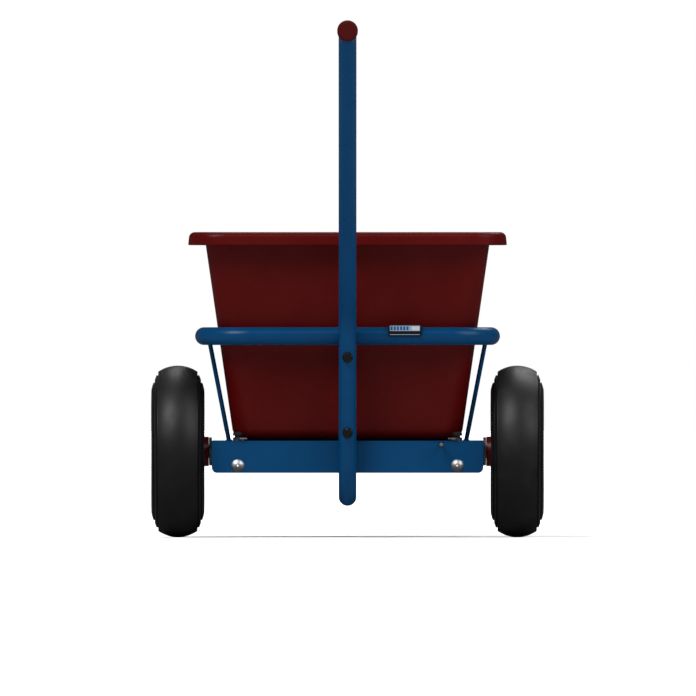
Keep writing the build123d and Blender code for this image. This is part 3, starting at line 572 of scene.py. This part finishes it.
def tyre_outside():
    """One side of the outer section, from the bead to the edge of the tread."""
    bead = [(20.0, BEAD_R), (26.6, BEAD_R), (27.0, BEAD_R + 0.6), (27.0, FLANGE_R)]
    rim_ring = [(28.8, 62.6), (30.6, 64.2), (31.6, 66.0), (31.7, 67.4), (31.1, 68.6), (31.6, 69.6)]
    lower_wall = arc((31.9, 70.0), (35.6, 75.6), (38.2, 82.0), 6)
    wall_ring = [(38.2, 82.0), (39.0, 82.4), (39.3, 83.4), (39.1, 84.4), (39.1, 85.0)]
    upper_wall = arc((39.25, 86.0), (39.85, 91.0), (39.3, 96.6), 6) + [(39.3, 96.6), (38.5, 100.0)]
    wall_groove = [(36.8, 104.6), (35.2, 103.6), (33.4, 104.2), (33.1, 106.4), (34.9, 108.8)]
    tread_groove = [(32.2, 115.8), (30.6, 115.0), (28.3, 116.0), (27.9, 118.4), (29.7, 120.0)]
    walls = bead + rim_ring + lower_wall + wall_ring + upper_wall
    return walls + wall_groove + tread_groove + [TREAD_EDGE]


def tyre_inside():
    """The hollow section, from the far bead round to the near one."""
    arcs = (
        ((-20.0, 62.0), (-30.5, 75.0), (-34.5, 90.0), 5),
        ((-34.5, 90.0), (-29.0, 105.0), (-18.0, 115.5), 5),
        ((-18.0, 115.5), (0.0, 121.0), (18.0, 115.5), 8),
        ((18.0, 115.5), (29.0, 105.0), (34.5, 90.0), 5),
        ((34.5, 90.0), (30.5, 75.0), (20.0, 62.0), 5),
    )
    points = [(-20.0, 61.0)]
    for start, through, end, count in arcs:
        points += arc(start, through, end, count)
    return points + [(20.0, 62.0), (20.0, 61.0)]


def tyre_profile():
    """Closed section in metres: beads, sidewalls with rings, grooved shoulders, round crown."""
    near = tyre_outside()
    far = [(-u, r) for u, r in reversed(near)]
    crown = arc(near[-1], (0.0, WHEEL_R / MM), far[0], 20)[1:]
    return [(u * MM, r * MM) for u, r in near + crown + far + tyre_inside()]


def add_lug(bm, centre, outwards, angle):
    """One low ridge on a sidewall, pointing at the axle."""
    corners = []
    for u, r in LUG_STOPS:
        for sideways, lift in LUG_SECTION:
            t = angle + sideways / r
            corners.append(bm.verts.new((centre.x + outwards * (u + lift) * MM,
                                         centre.y + r * MM * cos(t),
                                         centre.z + r * MM * sin(t))))
    wide = len(LUG_SECTION)
    for row in range(0, len(corners) - wide, wide):
        here, there = corners[row:row + wide], corners[row + wide:row + 2 * wide]
        for i in range(wide - 1):
            bm.faces.new((here[i], here[i + 1], there[i + 1], there[i]))
        bm.faces.new((here[0], there[0], there[-1], here[-1]))
    bm.faces.new(corners[:wide])
    bm.faces.new(corners[-wide:])


def sidewall_lugs(name, centre, side):
    """Fine moulded ridges round the upper part of both sidewalls."""
    bm = bmesh.new()
    for face in (-1, 1):
        for k in range(LUGS):
            add_lug(bm, centre, side * face, 2 * pi * k / LUGS)
    bmesh.ops.recalc_face_normals(bm, faces=bm.faces)
    return mesh_from(name, bm)


def make_tyres():
    for name, side in SIDES:
        body = TYRE_BODIES[name]
        centre = middle(f"tyre_{name}")
        mesh = lathe(f"tyre_{name}_moulded", tyre_profile(), centre, TYRE_STEPS, side)
        mesh.set_sharp_from_angle(angle=TYRE_CREASE)
        tyre = new_piece(f"tyre_{name}_moulded", mesh, tyre_rubber, body)
        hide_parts(f"tyre_{name}")
        lugs = sidewall_lugs(f"tyre_{name}_ridges", centre, side)
        new_piece(f"tyre_{name}_ridges", lugs, tyre_rubber, body)


# ---------------------------------------------------------------- welds

WELD_STEP = 0.55 * MM
WELD_RIPPLE = 5                               # steps in one ripple
WELD_DIP = 0.80                               # radius between two ripples, as a share
WELD_TIP = 0.35                               # radius at the seam's tips, as a share
WELD_SWELL = 0.22                             # share that each step from a tip adds
RING_CORNERS = 16

# Radius of each seam's bead, in millimetres.
STAY_BEAD, STRAP_BEAD, BRACKET_BEAD, HOUSING_BEAD = 1.3, 1.8, 1.6, 0.9


def weld(name, corners, bead_mm, closed=False):
    """Weld seam of overlapping ripples along straight runs between corners."""
    path = []
    runs = len(corners) if closed else len(corners) - 1
    for k in range(runs):
        start, end = corners[k], corners[(k + 1) % len(corners)]
        steps = max(1, round((end - start).length / WELD_STEP))
        path += [start.lerp(end, i / steps) for i in range(steps)]
    if not closed:
        path.append(corners[-1])
    radii = []
    for k in range(len(path)):
        from_tip = min(k, len(path) - 1 - k)
        taper = 1.0 if closed else min(1.0, WELD_TIP + WELD_SWELL * from_tip)
        ripple = WELD_DIP + (1 - WELD_DIP) * abs(sin(pi * k / WELD_RIPPLE))
        radii.append(bead_mm * MM * taper * ripple)
    mesh = sweep_mesh(name, path, radii, closed)
    new_piece(name, mesh, frame_paint, "frame")


def ring_weld(name, centre, axis, ring_radius, bead_mm):
    """Round seam about a rod."""
    turn = axis.to_track_quat("Z", "Y")
    angles = [2 * pi * k / RING_CORNERS for k in range(RING_CORNERS)]
    ring = [centre + turn @ Vector((cos(a), sin(a), 0)) * ring_radius for a in angles]
    weld(name, ring, bead_mm, closed=True)


def vertex_mean(node, test):
    """Middle of the vertices of a CAD node that pass a test."""
    chosen = [v.co for v in frame["nodes"][node].data.vertices if test(v.co)]
    return sum(chosen, Vector()) / len(chosen)


def weld_stays():
    """Round seams at the feet and heads of the four stays."""
    foot_ring, head_ring = 3.5 * MM, 3.4 * MM
    foot_rise, head_drop = Z * (0.4 * MM), 0.5 * MM
    foot_top = HOUSING_TOP + 1 * MM
    head_bottom = HOUSING_TOP + 140 * MM
    for name, _ in SIDES:
        node = f"stays_{name}"
        for end, sign in ENDS:
            foot = vertex_mean(node, lambda p: (p.y - HOOP_MID_Y) * sign > 0 and p.z < foot_top)
            head = vertex_mean(node, lambda p: (p.y - HOOP_MID_Y) * sign > 0 and p.z > head_bottom)
            axis = (head - foot).normalized()
            label = f"{name}_{end}"
            ring_weld(f"stay_foot_weld_{label}", foot + foot_rise, Z, foot_ring, STAY_BEAD)
            ring_weld(f"stay_head_weld_{label}", head - axis * head_drop, axis, head_ring, STAY_BEAD)


def weld_strap():
    """Seams above and below the hoop, and two beside the strap on the housing's back."""
    edge = span("mast_strap", 0) / 2
    touch = Vector((0, HOOP_BACK_Y, HOOP_Z)) - MAST_IN * TUBE_R
    above, inwards = MAST_UP * (4.8 * MM), MAST_IN * (0.5 * MM)
    reach = X * (edge - 1 * MM)
    for label, sign in (("upper", 1), ("lower", -1)):
        seam = touch + above * sign + inwards
        weld(f"strap_hoop_weld_{label}", [seam - reach, seam + reach], STRAP_BEAD)
    strap_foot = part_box("mast_strap")[0].z
    start, end = strap_foot + 2 * MM, strap_foot + 31 * MM
    y = HOUSING_BACK - 0.4 * MM
    for label, side in SIDES:
        seam = [Vector((side * edge, y, z)) for z in (start, end)]
        weld(f"strap_housing_weld_{label}", seam, STRAP_BEAD)


def weld_bracket():
    """Seams on both sides of the foot bracket's web, on top of the mast's foot run."""
    web_side, half_length, sunk = 3.4 * MM, 14 * MM, 0.1 * MM
    web_y = middle("foot_bracket").y
    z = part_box("foot_plug")[1].z - sunk
    for label, side in SIDES:
        seam = [Vector((side * web_side, y, z)) for y in (web_y - half_length, web_y + half_length)]
        weld(f"bracket_weld_{label}", seam, BRACKET_BEAD)


def weld_housing():
    """Upright seams at the housing's four corners, just inside its box."""
    inset_x, inset_y = 0.3 * MM, 0.48 * MM
    low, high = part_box("axle_housing")
    start, end = low.z + 12 * MM, high.z - 1 * MM
    for label, sign in ENDS:
        y = (low if sign < 0 else high).y - sign * inset_y
        for side_name, side in SIDES:
            seam = [Vector((side * (high.x - inset_x), y, z)) for z in (start, end)]
            weld(f"housing_weld_{label}_{side_name}", seam, HOUSING_BEAD)


# ---------------------------------------------------------------- badge

# Base, top and rounded edge of each layer, in millimetres; base and top stand out of the plate.
FIELD_LAYER = (-0.1, 0.30, 0.1)
LINE_LAYER = (-0.1, 0.25, 0.08)
MARK_LAYER = (0.25, 0.42, 0.05)
BARS = 6
BARS_SHARE = 0.62                             # share of the plate's width that the bars take
BAR_SHARE = 0.62                              # share of its pitch that a bar fills


def badge_block(name, across, upwards, layer, material):
    """Thin block with rounded edges on the badge's face."""
    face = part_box("badge_plate")[0].y
    base, top, edge = layer
    low = (across[0], face - top * MM, upwards[0])
    high = (across[1], face - base * MM, upwards[1])
    bm = bmesh.new()
    bmesh.ops.create_cube(bm, size=1.0)
    for v in bm.verts:
        v.co = Vector([low[i] if v.co[i] < 0 else high[i] for i in range(3)])
    bmesh.ops.bevel(bm, geom=bm.edges[:], offset=edge * MM, segments=2, affect="EDGES")
    new_piece(name, mesh_from(name, bm), material, "frame")


def make_badge():
    """Plain blocks on the badge: no lettering and no mark."""
    low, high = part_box("badge_plate")
    width = (low.x + 0.4 * MM, high.x - 0.4 * MM)
    field = (HOOP_Z + 7.6 * MM, high.z - 0.2 * MM)
    line = (HOOP_Z + 1.8 * MM, HOOP_Z + 2.7 * MM)
    badge_block("badge_field", width, field, FIELD_LAYER, badge_pale)
    badge_block("badge_line", width, line, LINE_LAYER, badge_pale)
    bar_height = (field[0] + 1.2 * MM, field[1] - 1.2 * MM)
    bars_start = low.x + 1.6 * MM
    pitch = (high.x - low.x) * BARS_SHARE / BARS
    for k in range(BARS):
        x = bars_start + k * pitch
        bar = (x, x + pitch * BAR_SHARE)
        badge_block(f"badge_bar_{k + 1}", bar, bar_height, MARK_LAYER, badge_blue)
    square = (high.x - 13.0 * MM, high.x - 1.4 * MM)
    square_height = (field[0] + 0.9 * MM, field[1] - 0.9 * MM)
    badge_block("badge_square", square, square_height, MARK_LAYER, badge_grey)


# ---------------------------------------------------------------- scene assembly

make_camera()
for sun in SUNS:
    make_sun(*sun)
make_world()
make_floor()
bpy.context.scene.view_settings.view_transform = "Standard"
finish_cad_nodes()
make_tyres()
weld_stays()
weld_strap()
weld_bracket()
weld_housing()
make_badge()
